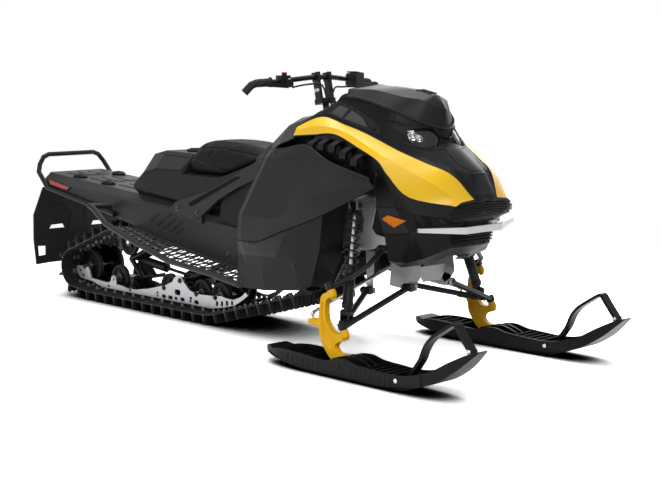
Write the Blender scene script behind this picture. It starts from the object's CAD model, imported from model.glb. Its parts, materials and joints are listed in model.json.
# Looks of the snowmobile: materials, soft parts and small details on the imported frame.
import bpy, bmesh, json
from math import acos, atan2, cos, hypot, pi, radians, sin, sqrt, tan
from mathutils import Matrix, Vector
from mathutils.bvhtree import BVHTree
from mathutils.kdtree import KDTree


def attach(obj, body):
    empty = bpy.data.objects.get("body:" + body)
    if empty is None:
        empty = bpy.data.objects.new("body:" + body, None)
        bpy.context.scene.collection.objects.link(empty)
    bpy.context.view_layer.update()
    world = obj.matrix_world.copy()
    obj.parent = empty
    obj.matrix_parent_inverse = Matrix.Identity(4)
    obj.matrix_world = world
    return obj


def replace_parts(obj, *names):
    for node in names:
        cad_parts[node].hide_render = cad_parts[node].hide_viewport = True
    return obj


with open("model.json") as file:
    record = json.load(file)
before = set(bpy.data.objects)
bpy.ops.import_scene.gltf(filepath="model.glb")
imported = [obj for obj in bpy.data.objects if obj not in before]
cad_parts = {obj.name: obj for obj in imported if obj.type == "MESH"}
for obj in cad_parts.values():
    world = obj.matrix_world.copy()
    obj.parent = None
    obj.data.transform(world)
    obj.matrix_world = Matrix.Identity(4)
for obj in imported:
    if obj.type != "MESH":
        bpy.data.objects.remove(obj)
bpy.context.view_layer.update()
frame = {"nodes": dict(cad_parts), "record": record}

NODES = frame["nodes"]
CHASSIS, BARS = "chassis", "handlebars"
# Signs of the right and the left side.
SIGNS = (-1, 1)
X, Y, Z = Vector((1, 0, 0)), Vector((0, 1, 0)), Vector((0, 0, 1))
scene = bpy.context.scene

# ---- Camera ---------------------------------------------------------------
# Focal length and picture width in pixels, as fitted to the photo.
FOCAL, PICTURE_WIDTH, SENSOR = 1351.22, 661, 36
cam_data = bpy.data.cameras.new("camera")
cam = bpy.data.objects.new("camera", cam_data)
scene.collection.objects.link(cam)
cam.location = (4.4078, -4.0775, 1.167)
cam.rotation_euler = (radians(90 - 7.40), 0, radians(46.37))
cam_data.sensor_width = SENSOR
cam_data.lens = FOCAL / PICTURE_WIDTH * SENSOR
cam_data.shift_x = 0.0591
cam_data.shift_y = 0.0036
scene.camera = cam

# ---- Light and stage ------------------------------------------------------
# Half size of the ground, in metres.
GROUND = 60
scene.view_settings.view_transform = "Standard"


def light(name, place, target, size, power):
    data = bpy.data.lights.new(name, "AREA")
    data.shape = "RECTANGLE"
    data.size, data.size_y = size
    data.energy = power
    ob = bpy.data.objects.new(name, data)
    scene.collection.objects.link(ob)
    ob.location = place
    ob.rotation_euler = (Vector(target) - Vector(place)).to_track_quat("-Z", "Y").to_euler()
    ob.visible_camera = False


light("key", (3.2, -3.6, 4.2), (0.2, 0, 0.5), (2.6, 2.6), 165)
light("top", (-0.2, 0.9, 4.2), (0.0, 0, 0), (2.6, 2.2), 105)
light("side", (-2.2, -4.8, 1.9), (-0.4, 0, 0.6), (3.4, 2.0), 55)
light("back", (-1.5, 4.5, 2.6), (0, 0, 0.6), (3.5, 2.2), 65)


class Graph:
    """Shader nodes of a material or world."""

    def __init__(self, owner, keep=False):
        owner.use_nodes = True
        self.tree = owner.node_tree
        if not keep:
            self.tree.nodes.clear()

    def node(self, kind, inputs=(), **settings):
        """Adds a node, fills its inputs and returns its outputs."""
        new = self.tree.nodes.new("ShaderNode" + kind)
        for key, value in settings.items():
            setattr(new, key, value)
        self.fill(new, dict(inputs))
        return new.outputs

    def fill(self, node, inputs):
        """Gives each input a value or, from another node's output, a link."""
        for key, value in inputs.items():
            if isinstance(value, bpy.types.NodeSocket):
                self.tree.links.new(value, node.inputs[key])
            else:
                node.inputs[key].default_value = value


def make_world():
    """White to the camera, in reflections and through glass; dim and cool as a light."""
    scene.world = bpy.data.worlds.new("studio")
    g = Graph(scene.world)
    path = g.node("LightPath")
    seen = g.node("Math", {0: path["Is Camera Ray"], 1: path["Is Transmission Ray"]}, operation="MAXIMUM")
    seen = g.node("Math", {0: seen[0], 1: path["Is Glossy Ray"]}, operation="MAXIMUM")
    dim = g.node("Background", {"Color": (0.93, 0.96, 1.0, 1), "Strength": 0.25})
    white = g.node("Background", {"Color": (1, 1, 1, 1), "Strength": 1.0})
    mix = g.node("MixShader", {0: seen[0], 1: dim[0], 2: white[0]})
    g.node("OutputWorld", {0: mix[0]})


def make_floor():
    """White ground with a shadow close under the object, which turns plain white farther out."""
    me = bpy.data.meshes.new("floor")
    corners = [(x * GROUND, y * GROUND, 0) for x, y in ((-1, -1), (1, -1), (1, 1), (-1, 1))]
    me.from_pydata(corners, [], [(0, 1, 2, 3)])
    ob = bpy.data.objects.new("floor", me)
    scene.collection.objects.link(ob)
    m = bpy.data.materials.new("floor")
    g = Graph(m)
    path = g.node("LightPath")
    near = g.node("AmbientOcclusion", {"Color": (1, 1, 1, 1), "Distance": 0.20}, samples=8)
    tone = g.node("MapRange", {"Value": near["AO"], "From Min": 0.35, "From Max": 0.85, "To Max": 2.6})
    lit = g.node("BsdfDiffuse", {"Color": tone["Result"]})
    dull = g.node("BsdfDiffuse", {"Color": (0.40, 0.40, 0.40, 1)})
    ground = g.node("MixShader", {0: path["Is Diffuse Ray"], 1: lit[0], 2: dull[0]})
    away = g.node("VectorMath", {0: g.node("NewGeometry")["Position"]}, operation="LENGTH")
    far = g.node("MapRange", {"Value": away["Value"], "From Min": 1.9, "From Max": 3.6})
    fade = g.node("Math", {0: far["Result"], 1: path["Is Camera Ray"]}, operation="MULTIPLY")
    glow = g.node("Emission", {"Color": (1, 1, 1, 1)})
    mix = g.node("MixShader", {0: fade[0], 1: ground[0], 2: glow[0]})
    g.node("OutputMaterial", {0: mix[0]})
    me.materials.append(m)


make_world()
make_floor()

# ---- Materials ------------------------------------------------------------
# Width of the worn strip along an edge (metres), and samples of the rounded edges.
WORN_WIDTH, EDGE_SAMPLES = 0.0025, 4
# Materials and record slots by look, and the plain look of each slot's nodes.
MAT, SLOT, PLAIN = {}, {}, {}


def material(name, colour, rough, grain, metal=0.0, blotch=(3.0, 0.12), wear=0.0, worn=None, spec=0.5,
             coat=0.0, stretch=None, rough_vary=0.08, bevel=0.0015):
    """Surface with fine grain, slow colour variation, rounded and worn edges."""
    m = bpy.data.materials.new(name)
    g = Graph(m, keep=True)
    source = g.node("TexCoord")["Object"]
    drawn = g.node("Mapping", {"Scale": stretch, "Vector": source})["Vector"] if stretch else source
    fine = g.node("TexNoise", {"Scale": grain[0], "Detail": 3, "Vector": drawn})["Fac"]
    slow = g.node("TexNoise", {"Scale": blotch[0], "Detail": 4, "Vector": source})["Fac"]

    def about(mean, spread):
        return g.node("MapRange", {"Value": slow, "From Min": 0.3, "From Max": 0.7,
                                   "To Min": mean - spread, "To Max": mean + spread})["Result"]
    base = g.node("VectorMath", {0: colour, "Scale": about(1, blotch[1])}, operation="SCALE")["Vector"]
    if wear > 0:
        wide = g.node("Bevel", {"Radius": WORN_WIDTH}, samples=EDGE_SAMPLES)["Normal"]
        flat = g.node("NewGeometry")["Normal"]
        dot = g.node("VectorMath", {0: wide, 1: flat}, operation="DOT_PRODUCT")["Value"]
        edge = g.node("MapRange", {"Value": dot, "From Min": 0.99, "From Max": 0.8, "To Max": wear})
        worn = (*(worn or [min(1, c * 3 + 0.05) for c in colour]), 1)
        base = g.node("Mix", {"A": base, "B": worn, "Factor": edge["Result"]}, data_type="RGBA")["Result"]
    rolled = g.node("Bevel", {"Radius": bevel}, samples=EDGE_SAMPLES)["Normal"]
    bump = g.node("Bump", {"Strength": grain[1], "Distance": 0.0006, "Height": fine, "Normal": rolled})
    surface = g.tree.nodes["Principled BSDF"]
    g.fill(surface, {"Metallic": metal, "Specular IOR Level": spec, "Base Color": base,
                     "Roughness": about(rough, rough_vary), "Normal": bump["Normal"]})
    if coat:
        g.fill(surface, {"Coat Weight": coat, "Coat Roughness": 0.08})
    return m


def look(key, slot, name, colour, rough, grain, **more):
    """Adds a look; the first one of a slot is the plain look of its nodes."""
    MAT[key] = material(name, colour, rough, grain, **more)
    SLOT[key] = slot
    PLAIN.setdefault(slot, MAT[key])


look("plastic", "black_plastic", "black_moulded", (0.0052, 0.0052, 0.0056), 0.40, (1400, 0.22), wear=0.22,
     spec=0.09, worn=(0.045, 0.045, 0.05))
look("charcoal", "charcoal_plastic", "charcoal_moulded", (0.0125, 0.0125, 0.0132), 0.40, (1400, 0.20),
     wear=0.3, spec=0.11, worn=(0.08, 0.08, 0.085))
look("vent", "charcoal_plastic", "vent_cloth", (0.045, 0.045, 0.047), 0.6, (2600, 0.6), wear=0.1, spec=0.25)
look("dark_paint", "charcoal_metal", "charcoal_paint", (0.026, 0.026, 0.028), 0.42, (700, 0.10), wear=0.3,
     metal=0.15, spec=0.12, worn=(0.14, 0.14, 0.145))
look("edge_paint", "charcoal_metal", "charcoal_edge", (0.12, 0.12, 0.124), 0.42, (700, 0.10), wear=0.3,
     metal=0.15, spec=0.12, worn=(0.16, 0.16, 0.165))
look("black_paint", "black_metal", "black_powder", (0.006, 0.006, 0.0066), 0.38, (1800, 0.35), wear=0.25,
     spec=0.16, worn=(0.08, 0.08, 0.08))
look("black_steel", "black_metal", "black_fastener", (0.015, 0.015, 0.016), 0.35, (900, 0.1), metal=0.5,
     wear=0.4)
look("grey_paint", "grey_metal", "grey_paint", (0.12, 0.12, 0.125), 0.42, (900, 0.15), wear=0.25, metal=0.3)
look("alu", "aluminium", "aluminium", (0.40, 0.40, 0.41), 0.40, (60, 0.15), metal=0.7, stretch=(1, 18, 18),
     wear=0.25)
look("cast", "aluminium", "cast_aluminium", (0.26, 0.26, 0.265), 0.46, (500, 0.3), metal=0.6, wear=0.3,
     worn=(0.5, 0.5, 0.5))
look("bright", "aluminium", "bright_aluminium", (0.50, 0.50, 0.51), 0.34, (60, 0.12), metal=0.6,
     stretch=(18, 1, 18), wear=0.2)
look("steel", "steel", "bright_steel", (0.55, 0.55, 0.57), 0.28, (300, 0.08), metal=1.0)
look("chrome", "steel", "polished_reflector", (0.85, 0.85, 0.87), 0.10, (150, 0.04), metal=1.0)
look("yellow", "yellow_plastic", "yellow_gloss", (0.92, 0.55, 0.012), 0.34, (300, 0.05), spec=0.3,
     blotch=(2, 0.04), wear=0.12, worn=(1.0, 0.75, 0.2))
look("yellow_metal", "yellow_metal", "yellow_powder", (0.92, 0.50, 0.006), 0.42, (1200, 0.25), spec=0.2,
     blotch=(6, 0.08), wear=0.3, worn=(0.95, 0.65, 0.15), bevel=0.003)
look("edging", "black_plastic", "navy_edging", (0.004, 0.005, 0.016), 0.5, (900, 0.1), spec=0.2)
look("gap", "black_plastic", "shadow_gap", (0.003, 0.003, 0.0034), 0.8, (900, 0.3), spec=0.1)
look("rubber", "rubber", "rubber", (0.007, 0.007, 0.007), 0.62, (800, 0.35), blotch=(5, 0.2), wear=0.3,
     spec=0.25, worn=(0.06, 0.06, 0.06))
look("vinyl", "seat_vinyl", "seat_vinyl", (0.0045, 0.0045, 0.005), 0.52, (420, 0.55), blotch=(8, 0.15),
     spec=0.08)
look("screen", "screen", "smoked_screen", (0.008, 0.008, 0.009), 0.42, (200, 0.02), spec=0.14)
look("lens", "lens", "lamp_bucket", (0.012, 0.012, 0.013), 0.3, (400, 0.10))
look("glass", "lens", "lamp_glass", (0.35, 0.35, 0.36), 0.06, (70, 0.03), rough_vary=0.02, spec=0.12)
look("glass_rod", "grey_metal", "rod_end", (0.22, 0.21, 0.18), 0.6, (1500, 0.3))
look("red", "red_lens", "red_lens", (0.50, 0.015, 0.012), 0.2, (260, 0.25), coat=0.4)
look("orange", "orange_lens", "amber_reflector", (0.78, 0.20, 0.003), 0.4, (320, 0.25), spec=0.12)
look("thread", "orange_lens", "orange_thread", (0.26, 0.10, 0.008), 0.7, (2500, 0.5), spec=0.2)
look("engine", "grey_metal", "cast_block", (0.05, 0.05, 0.052), 0.55, (250, 0.4), metal=0.5)
# The lamp glass is clear, slightly smoked plastic.
smoked = MAT["glass"].node_tree.nodes["Principled BSDF"]
smoked.inputs["Transmission Weight"].default_value = 0.9
smoked.inputs["IOR"].default_value = 1.2

PLAIN["grey_metal"] = MAT["dark_paint"]
for sub in frame["record"]["subparts"]:
    ob = NODES[sub["node"]]
    plain = MAT["engine"] if sub["node"] == "engine" else PLAIN[sub["material_slot"]]
    if not ob.material_slots:
        ob.data.materials.append(plain)
    for slot in ob.material_slots:
        slot.material = plain

# ---- Mesh helpers -----------------------------------------------------------
# Points and sizes below are in millimetres, in the CAD frame; meshes are in metres.
MM = 0.001
# How far off a surface the search for it starts, and the step between the places of a bead on it.
REACH, BEAD_STEP = 400, 8
# Bolt heads, as shares of the head's radius and height.
HEX_HEAD = ((1, 0), (1, 0.75), (0.86, 1), (0.45, 1), (0.4, 0.8), (0, 0.8))
ROUND_HEAD = ((1, 0), (0.97, 0.35), (0.75, 0.8), (0.45, 1), (0.42, 0.55), (0, 0.55))


def mirrored(p, s):
    """Point or direction on side s: -1 is the right side, as the tables are written for the left."""
    return Vector((p[0], p[1] * s, p[2]))


def both(points, s):
    return [mirrored(p, s) for p in points]


def across(points):
    """A line of the left side that ends on the centre, made whole to the right side."""
    return both(points, 1) + both(points[-2::-1], -1)


def curve_line(points, n=5):
    """Smooth line through points, with n steps from each to the next."""
    p = [Vector(q) for q in points]
    p = [p[0], *p, p[-1]]
    out = []
    for a, b, c, d in zip(p, p[1:], p[2:], p[3:]):
        for k in range(n):
            t = k / n
            out.append(0.5 * (2 * b + (c - a) * t + (2 * a - 5 * b + 4 * c - d) * t * t
                              + (3 * b - a - 3 * c + d) * t ** 3))
    return out + [p[-1]]


def axes(direction):
    """Two directions square to a third, and that third."""
    w = Vector(direction).normalized()
    u = w.cross(Z if abs(w.z) < 0.9 else X).normalized()
    return u, w.cross(u), w


def circle(at, u, v, r, n, flat=1.0):
    """Points around a place in the plane of u and v."""
    return [at + r * (cos(2 * pi * k / n) * u * flat + sin(2 * pi * k / n) * v) for k in range(n)]


def on_surface(tree, p, d):
    """Where a line along d through a point meets a surface, or else the surface's nearest point."""
    hit = tree.ray_cast((p - d * REACH) * MM, d)[0]
    if hit is None:
        hit = tree.find_nearest(p * MM)[0]
    return hit * 1000


def made(name, bm):
    """Object with the faces of a bmesh."""
    me = bpy.data.meshes.new(name)
    bm.to_mesh(me)
    bm.free()
    ob = bpy.data.objects.new(name, me)
    scene.collection.objects.link(ob)
    return ob


def settle(ob, look, body, sharp, bevel=0, subdiv=0, more=()):
    """Gives a made piece its smooth faces, materials and body."""
    me = ob.data
    me.shade_smooth()
    me.set_sharp_from_angle(angle=radians(sharp))
    me.materials.clear()
    for name in (look, *more):
        me.materials.append(MAT[name])
    if bevel:
        mod = ob.modifiers.new("rolled_edges", "BEVEL")
        mod.width = bevel * MM
        mod.segments = 2
        mod.limit_method = "ANGLE"
        mod.angle_limit = radians(sharp)
    if subdiv:
        mod = ob.modifiers.new("even_form", "SUBSURF")
        mod.levels = mod.render_levels = subdiv
    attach(ob, body)
    return ob


class Kit:
    """Gathers the shapes of one piece and makes it an object that rides on a body."""

    def __init__(self, name, look, body=CHASSIS, sharp=32):
        self.name, self.look, self.body, self.sharp = name, look, body, sharp
        self.bm = bmesh.new()

    def loop(self, points):
        return [self.bm.verts.new(Vector(p) * MM) for p in points]

    def loft(self, loops, closed=True):
        """Faces from each loop to the next."""
        for a, b in zip(loops, loops[1:]):
            for i in range(len(a) if closed else len(a) - 1):
                j = (i + 1) % len(a)
                self.bm.faces.new((a[i], a[j], b[j], b[i]))

    def lathe(self, at, direction, profile, n=20):
        """Turned shape: profile is [(radius, height along the axis)]."""
        u, v, w = axes(direction)
        middles = [(r, Vector(at) + w * h) for r, h in profile]
        rings = [self.loop(circle(p, u, v, r, n) if r > 0 else [p]) for r, p in middles]
        for pair in zip(rings, rings[1:]):
            tip, ring = sorted(pair, key=len)
            if len(tip) == n:
                self.loft(pair)
            else:
                for k in range(n):
                    self.bm.faces.new((tip[0], ring[k], ring[(k + 1) % n]))

    def tube(self, points, r, n=6, closed=False, flat=1.0, lift=None):
        """Round or flattened bar along points; lift is the direction that stays up."""
        p = [Vector(q) for q in points]
        before, after = (p[-1:], p[:1]) if closed else (p[:1], p[-1:])
        rings, u = [], None
        for at, a, b in zip(p, before + p[:-1], p[1:] + after):
            t = (b - a).normalized()
            u = lift or u or axes(t)[0]
            u = (u - t * t.dot(u)).normalized()
            rings.append(self.loop(circle(at, u, t.cross(u), r, n, flat)))
        self.loft(rings + rings[:1] if closed else rings)
        if not closed:
            self.bm.faces.new(rings[0])
            self.bm.faces.new(rings[-1])

    def slab(self, outline, at, u, v, t, edge=0.8):
        """Plate from a flat outline, from its place outward along u x v, with a chamfered rim."""
        u, v = u.normalized(), v.normalized()
        w = u.cross(v)
        outline = [Vector(q) for q in outline]
        mean = sum(outline, Vector((0, 0))) / len(outline)
        rings = []
        for h, inset in ((0, 0), (t - edge, 0), (t, edge)):
            flat = [mean + (q - mean) * max(0.0, 1 - inset / (q - mean).length) for q in outline]
            rings.append(self.loop([Vector(at) + u * q.x + v * q.y + w * h for q in flat]))
        self.loft(rings)
        self.bm.faces.new(rings[0])
        self.bm.faces.new(rings[-1])

    def bolt(self, at, direction, r=7.0, h=5.0, washer=True, hexed=True):
        """Bolt head on a washer, standing on a surface at a point."""
        at = Vector(at)
        if washer:
            self.lathe(at, direction, [(r * 1.45, -0.5), (r * 1.5, 0.9), (r * 1.35, 1.5), (0, 1.5)], 18)
            at = at + Vector(direction).normalized() * 1.4
        head, n = (HEX_HEAD, 6) if hexed else (ROUND_HEAD, 16)
        self.lathe(at, direction, [(r * a, h * b) for a, b in head], n)

    def patch(self, tree, outline, toward, out=1.6, cell=14, depth=3.0, edge=1.2):
        """Thin panel on a surface: its outline lies near the surface and is pressed on along toward."""
        d = Vector(toward).normalized()
        u, v, _ = axes(-d)
        flat = [(q.dot(u), q.dot(v)) for q in map(Vector, outline)]
        mean = sum(q.dot(d) for q in map(Vector, outline)) / len(flat)
        bm = bmesh.new()
        bm.faces.new([bm.verts.new((x, y, 0)) for x, y in flat])
        for axis in (0, 1):
            lo, hi = min(f[axis] for f in flat), max(f[axis] for f in flat)
            k = max(1, int((hi - lo) / cell))
            for i in range(1, k):
                co, no = [0, 0, 0], [0, 0, 0]
                co[axis], no[axis] = lo + (hi - lo) * i / k, 1
                everything = bm.verts[:] + bm.edges[:] + bm.faces[:]
                bmesh.ops.bisect_plane(bm, geom=everything, plane_co=co, plane_no=no)
        bmesh.ops.triangulate(bm, faces=[f for f in bm.faces if len(f.verts) > 4])
        top, low = {}, {}
        for w in bm.verts:
            hit = on_surface(tree, u * w.co.x + v * w.co.y + d * mean, d)
            top[w] = self.loop([hit - d * (out - (edge if w.is_boundary else 0))])[0]
            if w.is_boundary:
                low[w] = self.loop([hit + d * (depth - out)])[0]
        for f in bm.faces:
            self.bm.faces.new([top[w] for w in f.verts])
        for a, b in (e.verts for e in bm.edges if e.is_boundary):
            self.bm.faces.new((top[a], top[b], low[b], low[a]))
        bm.free()

    def pressed(self, tree, points, toward, r, out=0.0):
        """Flat bead that follows a surface along a line."""
        d = Vector(toward).normalized()
        p = [Vector(q) for q in points]
        line = []
        for a, b in zip(p, p[1:]):
            k = max(1, int((b - a).length / BEAD_STEP))
            line += [a.lerp(b, i / k) for i in range(k)]
        self.tube([on_surface(tree, q, d) - d * out for q in line + p[-1:]], r, flat=0.6, lift=-d)

    def panel(self, rows, splits, s):
        """Even faces between rows of points; each space between two rows is split a number of times."""
        steps = [(k, t / n) for k, n in enumerate(splits) for t in range(n)] + [(len(splits) - 1, 1.0)]
        self.loft([self.loop(both([a.lerp(b, t) for a, b in zip(rows[k], rows[k + 1])], s))
                   for k, t in steps], closed=False)

    def done(self, subdiv=0):
        bmesh.ops.recalc_face_normals(self.bm, faces=self.bm.faces[:])
        return settle(made(self.name, self.bm), self.look, self.body, self.sharp, subdiv=subdiv)


def finish(*kits):
    for kit in kits:
        kit.done()


def mesh_tree(*meshes):
    """Search tree over the faces of meshes."""
    verts, faces = [], []
    for me in meshes:
        base = len(verts)
        verts += [v.co[:] for v in me.vertices]
        faces += [tuple(base + i for i in p.vertices) for p in me.polygons]
    return BVHTree.FromPolygons(verts, faces)


def tree_of(*names):
    return mesh_tree(*(NODES[n].data for n in names))


def loose_parts(bm):
    """Faces of each part of a mesh that hangs together, with the part's box in millimetres."""
    left = set(bm.faces)
    while left:
        seed = left.pop()
        part, edge = [seed], [seed]
        while edge:
            f = edge.pop()
            for g in {g for e in f.edges for g in e.link_faces} & left:
                left.remove(g)
                part.append(g)
                edge.append(g)
        spans = list(zip(*(v.co * 1000 for f in part for v in f.verts)))
        yield part, [min(span) for span in spans], [max(span) for span in spans]


BODY_OF = {n: b for b, ns in frame["record"]["behaviour"]["bodies"].items() for n in ns}


def shell(node, look, sharp=15, bevel=1.0, other=None, picked=None):
    """A node's panel with even faces and rolled edges; picked faces have the other look."""
    bm = bmesh.new()
    bm.from_mesh(NODES[node].data)
    bmesh.ops.remove_doubles(bm, verts=bm.verts[:], dist=2e-5)
    bmesh.ops.dissolve_degenerate(bm, edges=bm.edges[:], dist=1e-5)
    bmesh.ops.recalc_face_normals(bm, faces=bm.faces[:])
    for part, lo, hi in loose_parts(bm):
        for f in part:
            f.material_index = int(bool(picked and picked(lo, hi, f.normal)))
    ob = made(node + "_shell", bm)
    settle(ob, look, BODY_OF[node], sharp, bevel, more=(other,) if other else ())
    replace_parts(ob, node)


# Longest side of a fastener, and height of the stop button's cap.
FASTENER, BUTTON = 149, 14


# Which faces have the other look, by the box of their loose part and by their normal.
def is_small(lo, hi, normal):
    return max(hi[i] - lo[i] for i in range(3)) < FASTENER


def is_button(lo, hi, normal):
    return hi[2] - lo[2] < BUTTON and hi[1] < 0


def is_upper_bevel(lo, hi, normal):
    return 0.3 < abs(normal.y) < 0.95 and normal.z > 0.2


def is_front(lo, hi, normal):
    return normal.x > 0.7


# ---- Body panels ------------------------------------------------------------
SPINDLE = ("yellow_metal", 24, 3.0, "steel", is_small)
SKI = ("plastic", 24, 1.2, "black_steel", is_small)
SKI_LOOP = ("plastic", 24, 1.2)
# Node: look, angle of a sharp edge, width of the rolled edge, other look, its faces.
SHELLS = dict(
    hood=("plastic", 16), tunnel=("dark_paint", 15, 1.0, "edge_paint", is_upper_bevel),
    nose_cowl=("plastic", 14), belly_pan=("plastic", 14), lower_side_panels=("plastic",),
    side_louvres=("plastic",), console=("plastic",), fuel_tank=("charcoal", 12), knee_panels=("plastic",),
    front_bumper=("bright",), spindle_right=SPINDLE, spindle_left=SPINDLE, ski_right=SKI, ski_left=SKI,
    ski_loop_right=SKI_LOOP, ski_loop_left=SKI_LOOP, front_springs=("black_paint", 40),
    side_struts=("dark_paint", 24), control_cables=("rubber",),
    bulkhead=("cast", 30, 1.0, "plastic", is_front), bar_controls=("black_paint", 30, 1.0, "red", is_button))
for n, settings in SHELLS.items():
    shell(n, *settings)

HOOD_TREE = tree_of("hood", "hood_bands", "windshield", "nose_cowl", "belly_pan")
PANEL_TREE = tree_of("side_panels", "lower_side_panels")
BAND_LOW = [(450, 300, 890), (575, 303, 899), (690, 300, 904), (810, 300, 859), (912, 297, 812),
            (955, 287, 760), (1040, 255, 676), (1195, 165, 647)]
BAND_UP = [(455, 280, 928), (560, 240, 970), (685, 235, 941), (795, 228, 909), (945, 200, 846),
           (1040, 160, 805), (1135, 115, 761), (1205, 66, 668)]
BAND_RIDGE = [(458, 292, 912), (600, 292, 936), (730, 286, 916), (822, 285, 880), (922, 278, 832),
              (1010, 243, 785), (1110, 200, 730), (1200, 136, 661)]
SCREEN_LOW = [(560, 192, 1012), (640, 180, 1044), (720, 168, 1036), (855, 158, 999), (940, 112, 960),
              (975, 75, 942), (993, 45, 932), (1003, 20, 927), (1005, 0, 926)]
NOSE_MID = [(905, 292, 632), (1000, 290, 640), (1062, 262, 615), (1172, 192, 602), (1190, 130, 602),
            (1195, 70, 602), (1197, 0, 602)]
NOSE_LOW = [(930, 270, 527), (1055, 267, 545), (1078, 252, 558), (1146, 138, 578), (1172, 104, 580),
            (1186, 70, 582), (1188, 0, 582)]

# Radii of the beads along and across the ends of a panel, and steps of the curves of bands and other panels.
BEAD, END_BEAD, BAND_STEPS, PANEL_STEPS = 2.6, 2.4, 10, 8

# Yellow bands as even panels, creased only along the ridge, with dark edging. The upper row goes on to
# the middle of the nose and is cut to the other rows' length.
bands, trim = Kit("band_panels", "yellow", sharp=20), Kit("band_edging", "edging")
ridge, lower = curve_line(BAND_RIDGE, BAND_STEPS), curve_line(BAND_LOW, BAND_STEPS)
rows = [curve_line(BAND_UP + [(1208, 0, 672)], BAND_STEPS)[:len(ridge)], ridge, lower]
for s in SIGNS:
    bands.panel(rows, (5, 8), s)
    for line in (BAND_LOW, BAND_UP):
        trim.tube(both(curve_line(line), s), BEAD)
    for end in (0, -1):
        trim.tube(both([BAND_LOW[end], BAND_RIDGE[end], BAND_UP[end]], s), END_BEAD)
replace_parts(bands.done(), "hood_bands")
trim.done()

seams = Kit("panel_seams", "gap")
for line, r in ((curve_line(SCREEN_LOW), 3.0), (NOSE_MID, 1.5), (NOSE_LOW, 2.0)):
    seams.tube(across(line), r)
seams.done()

# Windshield as even panels, with a crowned cap between its two ridges.
RIDGE = [(640, 30, 1093), (742, 26, 1088), (864, 24, 1076), (940, 20, 1060), (962, 14, 1046),
         (975, 10, 1034), (984, 5, 1026), (990, 0, 1022)]
CREST = [(622, 150, 1078), (735, 122, 1077), (862, 100, 1052), (940, 72, 1040), (972, 48, 1020),
         (986, 28, 1008), (996, 12, 1004), (1002, 0, 1000)]
cap = Kit("screen_panels", "screen", sharp=24)
rows = [curve_line(line, PANEL_STEPS) for line in (RIDGE, CREST, SCREEN_LOW)]
rows[2] = rows[2][PANEL_STEPS:]
for s in SIGNS:
    cap.panel(rows, (4, 6), s)
    cap.tube(both([row[0] for row in rows], s), BEAD, flat=0.7)
cap.loft([cap.loop([(p.x, p.y * k, p.z + 2 - 2 * k * k) for k in (-1, -0.6, -0.2, 0.2, 0.6, 1)])
          for p in curve_line(RIDGE[:-1], PANEL_STEPS)], closed=False)
cap.tube([RIDGE[0], (638, 0, 1095), mirrored(RIDGE[0], -1)], BEAD, flat=0.7)
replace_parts(cap.done(), "windshield")

# Rolled lip along the foot of the windshield.
lip = Kit("screen_lip", "screen")
foot = [p + Vector((1.5, 3, 5)) for p in curve_line(SCREEN_LOW[1:])]
lip.tube(foot[:-1] + both(foot[::-1], -1), 6, 8, flat=0.55)
lip.done()

# ---- Seat -------------------------------------------------------------------
# The saddle under the cushion is level up to a bend and then rises.
SADDLE_BEND, SADDLE_LOW, SADDLE_SLOPE = -149, 687, (778 - 687) / 257
# Remesh size, pressure, farthest push outward, and half width and depth of a sewn crease (metres).
VOXEL, PRESSURE, MOST_PUSH, CREASE_HALF, CREASE_DEPTH = 0.007, 3.5, 0.007, 0.012, 0.0042
CLOTH_FRAMES, STITCH = 20, 7


def saddle_z(x):
    return SADDLE_LOW + SADDLE_SLOPE * max(0, x - SADDLE_BEND)


def seat_ring(x, crown, edge, w_edge, w_side, w_foot):
    """Half section of the cushion from the crown down: [half width, height]."""
    foot = saddle_z(x) + 3
    side = edge - (edge - foot) * 0.45
    return [(0, crown), (w_edge * 0.5, crown - 1), (w_edge * 0.86, crown - 4), (w_edge, edge + 4),
            (w_edge + 6, edge - 7), (w_side, side), (w_side - 1, foot + 14), (w_foot, foot)]


SEAT_RINGS = [(x, seat_ring(x, *sizes)) for x, *sizes in (
    (-398, 776, 764, 92, 138, 128), (-388, 795, 780, 104, 142, 134), (-366, 814, 796, 116, 144, 136),
    (-335, 826, 806, 124, 145, 137), (-270, 831, 810, 130, 145, 137), (-190, 831, 810, 132, 145, 137),
    (-100, 826, 804, 131, 145, 137), (-10, 813, 794, 128, 145, 137), (60, 802, 786, 124, 145, 137),
    (100, 795, 784, 118, 143, 135))]
# Seams: along the edge of the top, and down across the side.
SEAT_SEAMS = [both(line, s) for s in SIGNS for line in (
    [(x, *half[4]) for x, half in SEAT_RINGS[1:]],
    [(-385, 143, 752), (-300, 145, 735), (-205, 145, 713), (-140, 145, 700)])]


def seat_form():
    """Closed form of the cushion."""
    form = Kit("seat_cushion", "vinyl")
    rings = [form.loop([(x, y, z) for y, z in half] + [(x, -y, z) for y, z in half[:0:-1]])
             for x, half in SEAT_RINGS]
    form.loft(rings)
    form.bm.faces.new(rings[0])
    form.bm.faces.new(rings[-1])
    bmesh.ops.triangulate(form.bm, faces=[f for f in form.bm.faces if len(f.verts) > 4])
    bmesh.ops.recalc_face_normals(form.bm, faces=form.bm.faces[:])
    return made(form.name, form.bm)


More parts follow.
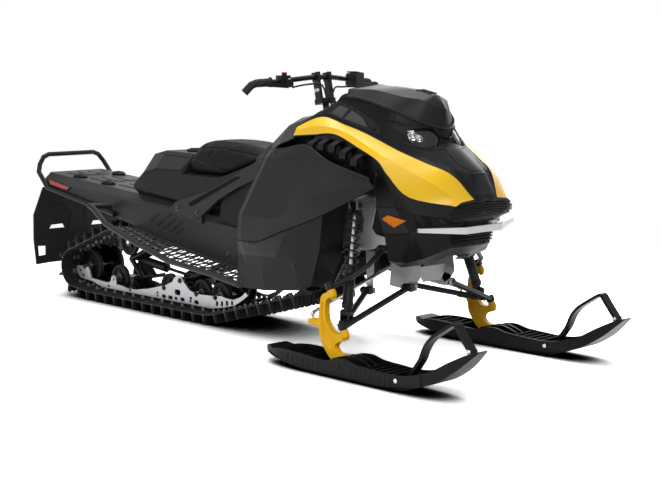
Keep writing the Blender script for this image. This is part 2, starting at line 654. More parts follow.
def puff(ob):
    """Remeshes a soft form and blows it up a little with cloth."""
    bpy.context.view_layer.objects.active = ob
    ob.select_set(True)
    ob.data.remesh_voxel_size = VOXEL
    bpy.ops.object.voxel_remesh()
    verts = ob.data.vertices
    pin = ob.vertex_groups.new(name="base")
    pin.add([v.index for v in verts if v.co.z * 1000 < saddle_z(v.co.x * 1000) + 9], 1.0, "REPLACE")
    mod = ob.modifiers.new("cloth", "CLOTH")
    cloth = mod.settings
    cloth.quality = 5
    cloth.use_pressure = True
    cloth.uniform_pressure_force = PRESSURE
    cloth.effector_weights.gravity = 0
    cloth.vertex_group_mass = "base"
    cloth.tension_stiffness = cloth.compression_stiffness = 12
    for f in range(1, CLOTH_FRAMES + 1):
        scene.frame_set(f)
    blown = ob.evaluated_get(bpy.context.evaluated_depsgraph_get())
    pushes = [after.co - v.co for v, after in zip(verts, blown.data.vertices)]
    ob.modifiers.remove(mod)
    ob.vertex_groups.clear()
    for v, d in zip(verts, pushes):
        v.co += d * min(1, MOST_PUSH / max(d.length, 1e-9))
    scene.frame_set(1)


seat = seat_form()
puff(seat)
surface = mesh_tree(seat.data)
laid = [[surface.find_nearest(q * MM)[:2] for q in curve_line(line, 6)] for line in SEAT_SEAMS]
marks = [mark for line in laid for mark in line]
kd = KDTree(len(marks))
for i, (place, _) in enumerate(marks):
    kd.insert(place, i)
kd.balance()
for v in seat.data.vertices:
    _, i, away = kd.find(v.co)
    if away < CREASE_HALF:
        k = 1 - away / CREASE_HALF
        v.co -= marks[i][1] * CREASE_DEPTH * k * k * (3 - 2 * k)
seat_ob = settle(seat, "vinyl", CHASSIS, 70, subdiv=1)
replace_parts(seat_ob, "seat")

surface = mesh_tree(seat.data)
thread = Kit("seat_stitching", "thread")
for seam in laid:
    line = [surface.find_nearest(p)[0] * 1000 + outward * 0.5 for p, outward in seam]
    for a, b in zip(line, line[1:]):
        k = max(1, int((b - a).length / STITCH))
        for i in range(k):
            thread.tube([a.lerp(b, (i + t) / k) for t in (0.12, 0.5, 0.88)], 0.75, 4)
thread.done()

# ---- Hood and nose details ---------------------------------------------------
VENT = [(576, 228, 984), (610, 194, 1024), (682, 195, 1010), (794, 198, 958), (844, 200, 920),
        (841, 208, 909), (807, 217, 916), (697, 226, 952)]
VENT_CLOTHS = ([(596, 224, 984), (621, 200, 1013), (670, 200, 1002), (656, 224, 966)],
               [(668, 223, 963), (690, 201, 995), (748, 203, 968), (786, 214, 932), (732, 220, 947)])
VENT_STUD = [(798, 211, 930), (814, 203, 936), (827, 206, 921), (811, 214, 917)]
frames, cloths, studs = Kit("vent_frames", "screen"), Kit("vent_covers", "vent"), Kit("vent_studs", "gap")
for s in SIGNS:
    toward = mirrored((-0.17, -0.84, -0.5), s)
    frames.patch(HOOD_TREE, both(VENT, s), toward, out=1.0)
    frames.pressed(HOOD_TREE, both(VENT + VENT[:1], s), toward, 1.8, out=0.6)
    for outline in VENT_CLOTHS:
        cloths.patch(HOOD_TREE, both(outline, s), toward, out=2.4)
    studs.patch(HOOD_TREE, both(VENT_STUD, s), toward, out=2.2)
finish(frames, cloths, studs)

# Lamp openings: middle and directions of the opening, its corner points, and the section of a reflector.
LAMP_AT = Vector((950, 118, 904))
LAMP_X, LAMP_Y = Vector((0.484, 0.2155, -0.848)), Vector((-0.407, 0.914, 0))
LAMP_Z = Vector((0.7747, 0.345, 0.53))
EYE = both([(925, 146, 922), (984, 61, 931), (1007, 34, 894), (1015, 61, 859), (988, 132, 852),
            (945, 157, 883)], 1)
BOWL = [(0, 3), (7, 3), (9, 0), (9, -6), (16, -4), (24, 3), (29, 12), (31, 20), (33, 20), (32, 12),
        (26, 0), (14, -9), (0, -11)]
BROW_OVER = [(833, 182, 962), (875, 168, 961), (914, 146, 946), (950, 106, 940), (984, 62, 938),
             (1010, 26, 900), (1022, 0, 893)]
BROW_UNDER = [(833, 184, 960), (872, 181, 932), (915, 165, 914), (941, 176, 877), (983, 143, 858),
              (1017, 93, 850), (1040, 40, 853)]
bezel, glass = Kit("lamp_bezels", "plastic"), Kit("lamp_lenses", "glass")
bowl, brow = Kit("lamp_reflectors", "chrome"), Kit("lamp_brows", "plastic")
for s in SIGNS:
    ring = []
    for a, b, c in zip(EYE[-1:] + EYE, EYE, EYE[1:] + EYE[:1]):
        back, on = (a - b).normalized(), (c - b).normalized()
        ring += [b + back * 9, b + (back + on) * 2, b + on * 9]
    bezel.tube(both(ring, s), 2.4, 8, closed=True, flat=0.6)
    inner = [LAMP_AT + (p - LAMP_AT) * 0.96 - LAMP_Z * 3 for p in EYE]
    mid = sum(inner, Vector()) / len(inner)
    hoops = [glass.loop(both([mid + (p - mid) * share + LAMP_Z * rise for p in inner], s))
             for share, rise in ((1.0, 0), (0.8, 3.0), (0.5, 5.5), (0.2, 6.5))]
    glass.loft(hoops)
    glass.bm.faces.new(hoops[-1])
    for off_x, off_y, size in ((1, 12, 0.62), (12, -14, 0.5)):
        at = LAMP_AT + LAMP_X * off_x + LAMP_Y * off_y - LAMP_Z * 16
        bowl.lathe(mirrored(at, s), mirrored(LAMP_Z, s), [(r * size, h * size) for r, h in BOWL], 28)
    brow.tube(curve_line(both(BROW_OVER, s), 4), 4.5, 8, flat=0.7)
    brow.pressed(HOOD_TREE, both(BROW_UNDER, s), mirrored((-0.6, -0.5, -0.62), s), 3.2)
bezel.done()
glass.done(subdiv=1)
finish(bowl, brow)

marker, marker_rim = Kit("reflector_lenses", "orange"), Kit("reflector_rims", "edging")
MARKER = [(924, 283, 590), (962, 285, 609), (1046, 268, 592), (984, 275, 559)]
for s in SIGNS:
    toward = mirrored((-0.35, -0.94, 0), s)
    marker_rim.pressed(HOOD_TREE, both(MARKER + MARKER[:1], s), toward, 1.6, out=1.6)
    marker.patch(HOOD_TREE, both(MARKER, s), toward, out=2.4, cell=12, edge=1.5)
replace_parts(marker.done(), "side_reflectors")
marker_rim.done()

nose, badge = Kit("nose_plates", "plastic"), Kit("nose_blank_plate", "screen")
plate = [(1034, 44, 855), (1062, 50, 835), (1120, 54, 798), (1160, 36, 768)]
nose.patch(HOOD_TREE, plate + both(plate[::-1], -1), (-0.56, 0, -0.83), out=2.6)
for s in SIGNS:
    for line, toward, r in (
            ([(1037, 257, 677), (1050, 260, 645), (1062, 262, 616)], (-0.6, -0.8, 0), 1.6),
            ([(1048, 266, 545), (1062, 228, 500), (1076, 180, 452)], (-0.6, -0.8, 0), 2.2),
            ([(1062, 228, 500), (1105, 165, 508), (1135, 128, 520)], (-0.75, -0.66, 0), 2.2)):
        nose.pressed(HOOD_TREE, both(line, s), mirrored(toward, s), r)
plate = [(1170, 40, 756), (1170, -40, 756), (1203, -60, 684), (1203, 60, 684)]
badge.patch(HOOD_TREE, plate, (-0.95, 0, -0.3))
finish(nose, badge)

GRILLE_UP = [(1206, 0, 658), (1203, 66, 655), (1197, 132, 650), (1180, 168, 636), (1176, 178, 610),
             (1189, 130, 607), (1194, 70, 607), (1196, 0, 607)]
GRILLE_DOWN = [(1168, 0, 561), (1165, 66, 561), (1156, 98, 560), (1136, 126, 555), (1134, 116, 492),
               (1150, 94, 490), (1160, 58, 490), (1162, 0, 490)]
backs, rims = Kit("grille_backs", "gap"), Kit("grille_rims", "plastic")
for s in SIGNS:
    toward = mirrored((-0.92, -0.39, 0), s)
    for outline in (GRILLE_UP, GRILLE_DOWN):
        backs.patch(HOOD_TREE, both(outline, s), toward, out=0.9)
        rims.pressed(HOOD_TREE, both(outline, s), toward, 2.4)
finish(backs, rims)

# Intake in the cap of the windshield: a sunk dark face under a frame and seven bars.
INTAKE = both([(868, 22, 1077.5), (935, 20, 1063.5), (935, -20, 1063.5), (868, -22, 1077.5)], 1)
scoop, bars = Kit("screen_intake", "gap"), Kit("screen_intake_bars", "plastic")
hoops = [scoop.loop([p + Z * h for p in INTAKE]) for h in (-6, 0)]
scoop.loft(hoops)
scoop.bm.faces.new(hoops[1])
bars.tube(INTAKE, 2.6, 8, closed=True, flat=0.8)
for k in range(1, 8):
    a, b = INTAKE[0].lerp(INTAKE[1], k / 8), INTAKE[3].lerp(INTAKE[2], k / 8)
    bars.tube([a, a.lerp(b, 0.5) + Z * 1.4, b], 1.3)
finish(scoop, bars)

# ---- Side panels -------------------------------------------------------------
# Rows of the left panel, each from the rear: top, crease, fold and low edge.
SIDE_ROWS = [
    [(340, 320, 830), (376, 334, 836), (450, 342, 842), (585, 352, 860), (740, 380, 805), (935, 362, 750)],
    [(330, 344, 802), (371, 360, 806), (452, 368, 802), (566, 376, 790), (738, 394, 756), (938, 366, 742)],
    [(216, 386, 562), (258, 404, 564), (372, 414, 560), (504, 424, 576), (692, 420, 672), (952, 368, 728)],
    [(205, 390, 455), (252, 406, 457), (365, 415, 465), (475, 420, 505), (730, 410, 600), (962, 364, 717)]]
FACING = [(210, 390, 448), (252, 406, 450), (365, 415, 459), (470, 420, 496), (540, 418, 526),
          (468, 402, 408), (211, 386, 394)]
CLIPS = ((236, 392, 470), (240, 392, 548), (395, 345, 826), (560, 418, 380), (230, 384, 285), (560, 390, 300))


def side_row(points, n):
    """Row of a side panel: straight from its first point to the second, then smooth."""
    return [Vector(points[0])] + curve_line(points[1:], n)


side, side_seam = Kit("side_panel_faces", "charcoal", sharp=9), Kit("side_panel_seams", "gap")
facing, clips = Kit("side_facings", "charcoal"), Kit("panel_fasteners", "black_paint")
rows = [side_row(row, PANEL_STEPS) for row in SIDE_ROWS]
for s in SIGNS:
    side.panel(rows, (3, 6, 5), s)
    for line in ([row[0] for row in rows], rows[0], rows[3]):
        side.tube(both(line, s), 2.2)
    side_seam.tube(both([p - Z * 1.5 for p in side_row(SIDE_ROWS[3], 4)], s), BEAD)
    facing.patch(PANEL_TREE, both(FACING, s), -s * Y, out=1.8)
    for p in CLIPS:
        place, outward, _, _ = PANEL_TREE.find_nearest(mirrored(p, s) * MM)
        clips.bolt(place * 1000, outward, 6, 3, hexed=False)
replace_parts(side.done(), "side_panels")
finish(side_seam, facing, clips)

# ---- Tunnel, struts and tank -------------------------------------------------
# Left surfaces in y: side of the tunnel, outer face of a rail, outer face of a strut.
HALF, RAIL_Y, STRUT_Y = 205, 110, 241
# Slope of the tunnel's top, and its height at x = 0.
TUNNEL_TILT, TUNNEL_Z = radians(4.56), 507
# Lines in x and z: the row of rivets, and the inner and outer edges of a running board.
RIVET_Z = [(-903, 449), (-531, 374), (-24, 301), (205, 269.3)]
ROOT_Z = [(-735, 412), (-531, 369), (-24, 296), (205, 265)]
RIM_Z = [(-752, 434), (-520, 366), (-287, 308), (-1, 282), (205, 254)]
# Length of a cut of the board, where the cuts start, how many there are, and the board's width.
CUT, CUT_START, CUTS, BOARD = 62, -727, 15, 146
GROOVE = [(-284, 548), (-262, 546), (58, 688), (62, 698), (40, 702), (-286, 562)]
# Bolts: surface in y, radius and height of the head, places in x and z.
FRAME_BOLTS = ((STRUT_Y, 11, 8, ((-363, 535), (-228, 522), (205, 762))),
               (STRUT_Y, 6, 5, ((-345, 500), (-255, 500))),
               (RAIL_Y, 9, 7, ((-1290, 153), (-640, 117.7), (-398, 117.7), (-262, 117.7), (-518, 166))),
               (HALF, 11, 8, ((-60, 345), (-690, 345), (305, 294))))


def side_slab(kit, outline, y, s, t, edge=0.8):
    """Plate on a side of the tunnel, standing outward from y; its outline is in x and z."""
    kit.slab([(-s * x, z) for x, z in outline[::-s]], (0, s * y, 0), -s * X, Z, t, edge)


def between(table, x):
    """Height at x on a line through points."""
    for (x0, z0), (x1, z1) in zip(table, table[1:]):
        if x <= x1 or x1 == table[-1][0]:
            return z0 + (z1 - z0) * (x - x0) / (x1 - x0)


def board_z(x, share):
    """Height of a running board at a share of its width."""
    return between(ROOT_Z, x) * (1 - share) + between(RIM_Z, x) * share


press, rivets = Kit("tunnel_pressings", "black_paint"), Kit("tunnel_rivets", "black_steel")
grooves, rim = Kit("strut_grooves", "gap"), Kit("strut_rims", "dark_paint")
bolts = Kit("frame_bolts", "black_steel")
for s in SIGNS:
    for x0, z0, x1, z1 in ((-628, 446, -552, 492), (-575, 433, -455, 500), (-523, 423, -393, 496),
                           (-471, 413, -385, 462), (-427, 404, -372, 435)):
        side_slab(press, [(x0, z0), (x0 + 26, z0 + 1), (x1 + 8, z1), (x1 - 20, z1)], HALF, s, 2.2)
    for x in range(-840, 200, 130):
        at = (x, s * HALF, between(RIVET_Z, x) + 12)
        rivets.lathe(at, s * Y, [(5.5, 0), (5, 1.4), (3, 2.4), (0, 2.7)], 10)
    for x, z in ((-883, 524), (-859, 526), (-868, 477), (-1180, 520), (-1330, 534), (-1440, 548)):
        rivets.lathe((x, s * HALF, z), s * Y, [(6, 0), (5.5, 1.6), (3, 2.6), (0, 3)], 10)
    side_slab(grooves, GROOVE, STRUT_Y, s, 0.9, edge=0.2)
    rim.tube([(x, s * STRUT_Y, z) for x, z in GROOVE], 1.9, closed=True)
    for y, r, h, places in FRAME_BOLTS:
        for x, z in places:
            bolts.bolt((x, s * y, z), s * Y, r, h)
finish(press, rivets, grooves, rim, bolts)

# Edge bar along the tunnel, bars between the big cuts of each running board, hangers of the rear bogie.
root, bars = Kit("board_roots", "dark_paint"), Kit("board_bars", "grey_paint")
hanger = Kit("rear_bogie_hangers", "alu")
for s in SIGNS:
    root.tube([(x, s * (HALF + 3), z) for x, z in ROOT_Z], 7, 8)
    for share in (0.36, 0.66):
        bars.tube([(x, s * (HALF + 4 + BOARD * share), board_z(x, share) - 2)
                   for x in (-727, -520, -287, -24, 200)], 4.0, flat=0.6)
    for k in range(CUTS):
        for half in (0.22, 0.72):
            x = CUT_START + (k + half) * CUT
            bars.tube([(x + 20 * t, s * (HALF + 12 + 128 * t), board_z(x, t) - 1) for t in (0, 1)],
                      3.0, flat=0.8)
    side_slab(hanger, [(-1066, 84), (-1014, 82), (-1022, 126), (-1040, 134), (-1058, 126)], RAIL_Y, s, 4)
    hanger.bolt((-1040, s * (RAIL_Y + 4), 117.7), s * Y, 9, 7)
finish(root, bars, hanger)

# Raised ribs on the tunnel's top, and a ring with three screws around each cargo anchor.
up = Vector((sin(TUNNEL_TILT), 0, cos(TUNNEL_TILT)))
along = Y.cross(up)
cooler, rings = Kit("tunnel_top_ribs", "dark_paint"), Kit("anchor_rings", "black_steel")
for y0, y1 in ((-92, -40), (-26, 26), (40, 92)):
    for x0, x1 in ((-1470, -1345), (-1255, -1105), (-1015, -800)):
        cooler.slab([(x0, y0), (x1, y0), (x1, y1), (x0, y1)], Z * TUNNEL_Z, along, Y, 3.0, edge=1.5)
for x in (-1300, -1060):
    for y in (-120, 120):
        at = Vector((x, y, TUNNEL_Z - x * tan(TUNNEL_TILT)))
        rings.lathe(at, up, [(14.2, 9), (14.2, 16.6), (17, 17.2), (19, 16.2), (20, 15.2)], 28)
        for a in (60, 180, 300):
            screw = at + 28 * (cos(radians(a)) * along + sin(radians(a)) * Y) + up * 11
            rings.bolt(screw, up, 3.2, 3, washer=False, hexed=False)
finish(cooler, rings)

# Pressed seams of the tank, and its cap with three grip bars.
TANK_TREE, CAP_AT = tree_of("fuel_tank"), Vector((-520, 0, 771))
tank, cap = Kit("tank_seams", "gap"), Kit("tank_cap", "plastic")
for s in SIGNS:
    for line, toward in (
            ([(-690, 182, 660), (-600, 182, 690), (-493, 182, 694), (-412, 182, 694)], (0, -1, -0.3)),
            ([(-660, 100, 764), (-600, 120, 760), (-520, 118, 757), (-425, 116, 752)], (0, -0.6, -0.8))):
        tank.pressed(TANK_TREE, both(line, s), mirrored(toward, s), 1.6)
cap.lathe(CAP_AT, (0.03, 0, 1), [(44, -1), (46, 3), (45, 9), (40, 12), (34, 12.5), (33, 10), (0, 10)], 36)
for a in (0, 120, 240):
    d = Vector((cos(radians(a)), sin(radians(a)), 0))
    cap.tube([CAP_AT + Z * 13 + d * reach for reach in (3, 28)], 4.5, 8, flat=0.8)
finish(tank, cap)

# Low and upper edge of a tail light, in x and z.
TAIL_LOW, TAIL_UP = [(-1440, 572), (-1290, 552)], [(-1440, 594), (-1262, 566)]
tail, tail_frame = Kit("tail_light_ribs", "red"), Kit("tail_light_frames", "plastic")
for s in SIGNS:
    y = s * (HALF + 8.3)
    for x in range(-1432, -1290, 22):
        tail.tube([(x, y, between(TAIL_LOW, x) + 2), (x, y, between(TAIL_UP, x) - 2)], 1.6)
    corners = ((-1441, 595), (-1261, 567), (-1289, 551), (-1441, 571))
    tail_frame.tube([(x, y - s * 3, z) for x, z in corners], 2.6, closed=True)
finish(tail, tail_frame)

# Rear face of the snow flap.
FLAP_X = -1503
ribs = Kit("flap_ribs", "rubber")
for s in SIGNS:
    for line in (((24, 296), (66, 262), (196, 262), (256, 296)), ((200, 262), (196, 180)),
                 ((60, 262), (60, 170)), ((56, 318), (40, 400), (90, 455), (210, 440), (256, 400))):
        ribs.tube([(FLAP_X, s * y, z) for y, z in line], 2.6)
    ribs.tube([(FLAP_X, s * y, 300) for y in (20, 255)], 3.2)
ribs.tube([(FLAP_X, y, 300) for y in (-20, 20)], 3.2)
ribs.done()

# ---- Track and skid ----------------------------------------------------------
# The belt's inner face runs around these circles: x, z, radius.
CIRCLES = [(305, 294, 90), (-960, 306, 68), (-1290, 153, 90), (-1150, 310, 260), (-290, 470, 420)]
# Thickness of the belt, height of its lugs, rough space between them, and steps of the belt from lug to lug.
BELT_T, LUG_H, LUG_SPACE, BELT_STEPS = 8, 42, 76, 8
# Section of the belt: y and height over its inner face.
BELT = [(-190.2, 1), (-189, 0), (189, 0), (190.2, 1), (190.2, BELT_T - 1), (188, BELT_T), (-188, BELT_T),
        (-190.2, BELT_T - 1)]
# Lugs: place in a space, edges in y, and height; then drive lugs: y, half width, height, foot and tip.
LUGS = ((0, -188, -108, 1), (0, 108, 188, 1), (0.5, -104, -6, 0.96), (0.5, 6, 104, 0.96))
DRIVE_LUGS = (*((y, 7, 20, 30, 14) for y in (-34, 34, -88, 88)), *((y, 26, 3, 40, 34) for y in (-150, 150)))


def belt():
    """Function from a distance along the belt's inner face to a place and outward normal, and its length."""
    def normal(a, b):
        dx, dz = b[0] - a[0], b[1] - a[1]
        return atan2(dz, dx) - acos((a[2] - b[2]) / hypot(dx, dz))
    arcs = []
    for prev, c, nxt in zip(CIRCLES[-1:] + CIRCLES, CIRCLES, CIRCLES[1:] + CIRCLES[:1]):
        start = normal(prev, c)
        turn = (normal(c, nxt) - start) % (2 * pi)
        run = sqrt((nxt[0] - c[0]) ** 2 + (nxt[1] - c[1]) ** 2 - (c[2] - nxt[2]) ** 2)
        arcs.append((c, start, turn, run))
    total = sum(c[2] * turn + run for c, _, turn, run in arcs)

    def at(s):
        s %= total
        for (x, z, r), start, turn, run in arcs:
            arc = r * turn
            if s <= arc + run:
                a = start + min(s, arc) / r
                n = Vector((cos(a), 0, sin(a)))
                return Vector((x, 0, z)) + n * r + Vector((-n.z, 0, n.x)) * max(0, s - arc), n
            s -= arc + run
    return at, total


belt_at, belt_len = belt()
spaces = round(belt_len / LUG_SPACE)
pitch = belt_len / spaces


def block(kit, s, y0, y1, h, base, tip, inner=False):
    """Lug on the belt: a tapered wall across it, which has ribs on both faces on the outer side."""
    p, n = belt_at(s)
    t = Vector((-n.z, 0, n.x))
    p, n = (p + n * 0.5, -n) if inner else (p + n * (BELT_T - 0.5), n)

    def wall(ya, yb, a, b, top):
        loops = []
        for inset, half, up in ((0, a, 0), (0.6, a + (b - a) * 0.35, top * 0.25), (1.5, b, top)):
            corners = ((ya + inset, -half), (yb - inset, -half), (yb - inset, half), (ya + inset, half))
            loops.append(kit.loop([p + n * up + t * away + Y * y for y, away in corners]))
        kit.loft(loops)
        kit.bm.faces.new(loops[-1])
    wall(y0, y1, base / 2, tip / 2, h if inner else h - 5)
    if not inner:
        k = max(2, round((y1 - y0) / 26))
        for i in range(k):
            c = y0 + (y1 - y0) * (i + 0.5) / k
            wall(c - 6, c + 6, base / 2 + 4, tip / 2 + 2.5, h)


track, clips = Kit("track_belt", "rubber", sharp=28), Kit("track_clips", "grey_paint")
rods = Kit("track_rod_ends", "glass_rod")
stations = []
for i in range(spaces * BELT_STEPS):
    p, n = belt_at(i * pitch / BELT_STEPS)
    stations.append(track.loop([p + n * h + Y * y for y, h in BELT]))
track.loft(stations[-1:] + stations)
for k in range(spaces):
    for place, y0, y1, share in LUGS:
        block(track, (k + place) * pitch, y0, y1, LUG_H * share - 0.5, 17, 7)
    for y, half, h, base, tip in DRIVE_LUGS:
        block(track, (k + 0.5) * pitch, y - half, y + half, h, base, tip, inner=True)
    for y in (-106, 106):
        block(clips, k * pitch, y - 19, y + 19, 1.6, 26, 25, inner=True)
        for edge in (y + 16, y - 16):
            block(clips, k * pitch, edge - 3, edge + 3, 13, 20, 12, inner=True)
    p, n = belt_at(k * pitch)
    for s in SIGNS:
        rods.lathe(p + n * 4 + s * Y * 189, s * Y, [(3, 0), (3, 1.2), (0, 1.4)], 8)
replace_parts(track.done(), "track")
finish(clips, rods)

tyres, discs = Kit("wheel_tyres", "rubber"), Kit("wheel_discs", "plastic")
hubs = Kit("wheel_bearings", "grey_paint")
# Half width of a wheel, depth of its tyre, and the bearing's section.
WHEEL_W, TYRE = 12, 12
BEARING = [(20, 0), (20, 2.4), (17, 2.8), (16.5, 1.6), (11, 1.6), (10.5, 3.2), (0, 3.2)]


def wheel(x, z, r, y, spokes):
    """Bogie wheel: tyre, disc with spokes on both faces, and bearings."""
    w, rim_r, at = WHEEL_W, r - TYRE, Vector((x, y, z))
    tyres.lathe(at, Y, [(rim_r, -w + 2), (r - 5, -w), (r - 1.5, -w + 1.5), (r, -w + 5), (r, w - 5),
                        (r - 1.5, w - 1.5), (r - 5, w), (rim_r, w - 2), (rim_r, -w + 2)], 40)
    discs.lathe(at, Y, [(rim_r - 6, -9), (rim_r, -10), (rim_r, 10), (rim_r - 6, 9), (rim_r - 7, 4),
                        (26, 3), (25, 11), (12, 11), (12, -11), (25, -11), (26, -3), (rim_r - 7, -4),
                        (rim_r - 6, -9)], 36)
    lo, hi = 22, rim_r - 4
    for k in range(spokes):
        t = 2 * pi * (k + 0.25) / spokes
        d, e = Vector((cos(t), 0, sin(t))), Vector((-sin(t), 0, cos(t)))
        for s in SIGNS:
            foot, head = [discs.loop([at + d * far + e * wide + s * Y * out for far, wide, out in corners])
                          for corners in (((lo, 6, 2), (hi, 8, 2), (hi, -8, 2), (lo, -6, 2)),
                                          ((lo, 3, 9), (hi, 4, 8), (hi, -4, 8), (lo, -3, 9)))]
            discs.loft([foot, head])
            discs.bm.faces.new(head)
    for s in SIGNS:
        hubs.lathe(at + s * Y * 9, s * Y, BEARING, 24)


for y in (-66, 66):
    wheel(-1290, 153, 89.3, y, 6)
    wheel(-960, 306, 67.3, y, 5)
    for x in (-1040, -640, -398, -262):
        wheel(x, 117.7, 66, y, 5)
tyres.done()
disc_ob = discs.done()
hubs.done()
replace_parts(disc_ob, "skid_wheels")

# ---- Front suspension ---------------------------------------------------------
# Ends of the left shock, lower ball of its spindle, distance to the upper ball, and the kingpin's direction.
TOP, LOW = Vector((792, 286, 634)), Vector((858, 400, 230))
BALL, BALL_SPAN, CASTER = Vector((885, 450, 187)), 163, radians(25)
PIN = Vector((-sin(CASTER), 0, cos(CASTER)))
# Pivots of the arms and the shock, and half the width of each.
PIVOTS = (((927, 124, 306), 27), ((703, 124, 268), 27), ((900, 240, 468), 27), ((712, 240, 445), 27),
          (TOP, 25), (LOW, 25))
BOOT = [(11, 8.4), (15.2, 9.2), (14, 11.4), (12.5, 12.4), (13, 13.4), (11.5, 14.6), (9, 14.7)]
shafts, caps = Kit("shock_shafts", "alu"), Kit("shock_caps", "black_paint")
arm_bolts, boots = Kit("suspension_bolts", "black_steel"), Kit("ball_boots", "rubber")
for s in SIGNS:
    top, d = mirrored(TOP, s), mirrored(LOW - TOP, s)
    L = d.length
    shafts.lathe(top, d, [(7.3, L * 0.1), (7.3, L * 0.58), (7.0, L * 0.585)])
    caps.lathe(top, d, [(21.2, L * 0.56), (23.5, L * 0.565), (23.5, L * 0.6), (21.2, L * 0.605)], 28)
    for k in range(9):
        h = L * (0.655 + 0.011 * k)
        caps.lathe(top, d, [(21.1, h), (22.2, h + 1.4), (22.2, h + 2.4), (21.1, h + 3.8)], 28)
    caps.lathe(top, d, [(21.2, L * 0.9), (23, L * 0.905), (23, L * 0.935), (21.2, L * 0.94)], 28)
    for p, half in PIVOTS:
        for t in SIGNS:
            arm_bolts.bolt(mirrored(p, s) + t * X * (half - 1), t * X, 8.5, 6)
    for up in (0, BALL_SPAN):
        boots.lathe(mirrored(BALL + PIN * up, s), -PIN, BOOT, 24)
finish(shafts, caps, arm_bolts, boots)

# ---- Handlebar ----------------------------------------------------------------
# Steering column: a place on it, its direction, and the direction square to it toward the front.
COLUMN_LEAN = radians(12)
COL = Vector((335, 0, 1040))
COL_UP = Vector((-sin(COLUMN_LEAN), 0, cos(COLUMN_LEAN)))
COL_FWD = Y.cross(COL_UP)
# Heights along the column and places in y of the bolts on the clamp's top and on the sides of its foot.
CLAMP_TOP, CLAMP_Y, FOOT_TOP, FOOT_Y = 106, 33, 30, 41.6
clamp = Kit("bar_clamp_bolts", "steel", BARS)
for s in SIGNS:
    for f in (-12, 12):
        clamp.bolt(COL + COL_UP * CLAMP_TOP + COL_FWD * f + s * Y * CLAMP_Y, COL_UP, 5.5, 5, hexed=False)
        clamp.bolt(COL + COL_UP * FOOT_TOP + COL_FWD * f * 0.6 + s * Y * FOOT_Y, s * Y, 5, 4, hexed=False)
clamp.done()

# Middle line of the bar's left half, from the clamp outward; the last two points are the hook at its end.
BAR_MID = COL + COL_UP * 86
BAR = [BAR_MID + Y * 48, BAR_MID + Vector((-4, 120, -6)),
       *both([(292, 240, 1106), (272, 335, 1100), (262, 352, 1092), (246, 368, 1068)], 1)]
GRIP_START, GRIP_END = BAR[2].lerp(BAR[3], 0.32), BAR[3]
grips = Kit("grip_ribs", "rubber", BARS)
for s in SIGNS:
    axis = mirrored(GRIP_END - GRIP_START, s)
    for k in range(13):
        p = mirrored(GRIP_START.lerp(GRIP_END, (k + 0.3) / 13.5), s)
        grips.lathe(p, axis, [(15.8, -1.8), (17.2, -0.8), (17.2, 0.8), (15.8, 1.8)], 18)
    grips.lathe(mirrored(GRIP_START, s), -axis, [(16, -1), (21, 0), (21.5, 3), (19, 5), (12, 5.5)], 24)
    hook = mirrored(BAR[5] - BAR[4], s)
    grips.lathe(mirrored(BAR[5], s), hook, [(15.9, 3), (16.9, 5), (16.9, 8.5), (13, 9.3), (0, 9.4)])
grips.done()

controls, studs = Kit("control_details", "black_paint", BARS), Kit("control_studs", "steel", BARS)
stop = Kit("stop_button_ribs", "red", BARS)
OUTWARD = (BAR[2] - BAR[1]).normalized()
HOUSE, RESERVOIR = BAR[1].lerp(BAR[2], 0.72), BAR[1].lerp(BAR[2], 0.42)
for s in SIGNS:
    out, h = mirrored(OUTWARD, s), mirrored(HOUSE, s)
    fwd = out.cross(Z) * s
    pivot = h + fwd * 24 - out * 14 + Z * 6
    controls.lathe(h - out * 25, -out, [(14, 0), (18, 1), (18, 5), (14, 6.5), (11.2, 7)], 22)
    controls.lathe(pivot, Z, [(9, -34), (9.5, -2), (8, 0), (0, 0.6)], 18)
    studs.bolt(pivot + Z * 0.4, Z, 4, 3, washer=False, hexed=False)
    for k in (-16, 16):
        studs.bolt(h + out * k + Z * 23.2 - fwd * 10, Z, 3, 2, washer=False, hexed=False)
    controls.tube([h - fwd * 20.5 + out * k + Z * 6 for k in (-14, 14)], 4.5, 8, flat=0.6)
fwd = OUTWARD.cross(Z)
lid = RESERVOIR + fwd * 40 + Z * 28
controls.slab([(-28, -24), (28, -24), (28, 24), (-28, 24)], lid, OUTWARD, Z.cross(OUTWARD), 5, edge=2)
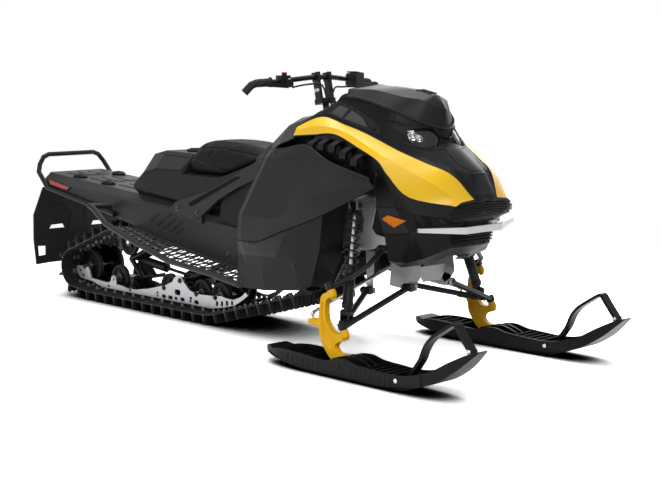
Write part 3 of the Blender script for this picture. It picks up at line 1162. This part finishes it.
for a in (-20, 20):
    for b in (-16, 16):
        studs.bolt(lid + OUTWARD * a + fwd * b + Z * 4.8, Z, 3, 2, washer=False, hexed=False)
STOP_AT = mirrored(HOUSE, -1) + Vector((0, 6, 35))
stop.lathe(STOP_AT, Z, [(11, -3), (12.2, -2.2), (12.2, 0.2), (10, 1.6), (0, 2)], 24)
finish(controls, studs, stop)

# Gauge in front of the column, seen by the rider, and the key switch.
gauge, face, key = Kit("gauge_housing", "plastic"), Kit("gauge_glass", "screen"), Kit("key_switch", "steel")
GAUGE_AT, GAUGE_UP = Vector((500, 0, 1012)), Vector((-0.72, 0, 0.69)).normalized()
HOUSING = [(-74, -38), (-66, -46), (66, -46), (74, -38), (74, 30), (58, 44), (-58, 44), (-74, 30)]
gauge.slab(HOUSING, GAUGE_AT, -Y, GAUGE_UP.cross(-Y), 26, edge=6)
glazing = [(x * 0.86, y * 0.82) for x, y in HOUSING]
face.slab(glazing, GAUGE_AT + GAUGE_UP * 25.6, -Y, GAUGE_UP.cross(-Y), 1.6, edge=1)
key.lathe((300, 88, 950), (-0.35, 0, 0.94), [(15, -6), (15, 4), (12, 6), (11, 4), (0, 4)], 24)
finish(gauge, face, key)

# ---- Skis ---------------------------------------------------------------------
# Half the ski stance and half a ski's width.
SKI_Y, SKI_HALF = 450, 75
for side, s in zip(("right", "left"), SIGNS):
    body = "ski_assembly_" + side
    ski, lines = Kit("ski_bolts_" + side, "steel", body), Kit("ski_side_ribs_" + side, "plastic", body)
    for t in SIGNS:
        y = s * SKI_Y + t * SKI_HALF
        ski.bolt((1222, y - t * 0.4, 46), t * Y, 5.5, 4, hexed=False)
        ski.bolt((1511, s * SKI_Y + t * 20, 187), t * Y, 6, 4, hexed=False)
        for x in range(1000, 1200, 24):
            lines.tube([(x, y, 24), (x + 2, y, 62)], 1.3, 5)
        for x in range(600, 830, 28):
            lines.tube([(x, y, 34), (x, y, 60)], 1.3, 5)
        lines.tube([(520, y - t * 22, 46), (600, y - t * 6, 32), (700, y, 24), (850, y, 21), (1150, y, 21),
                    (1290, y, 38)], 2.0)
    finish(ski, lines)
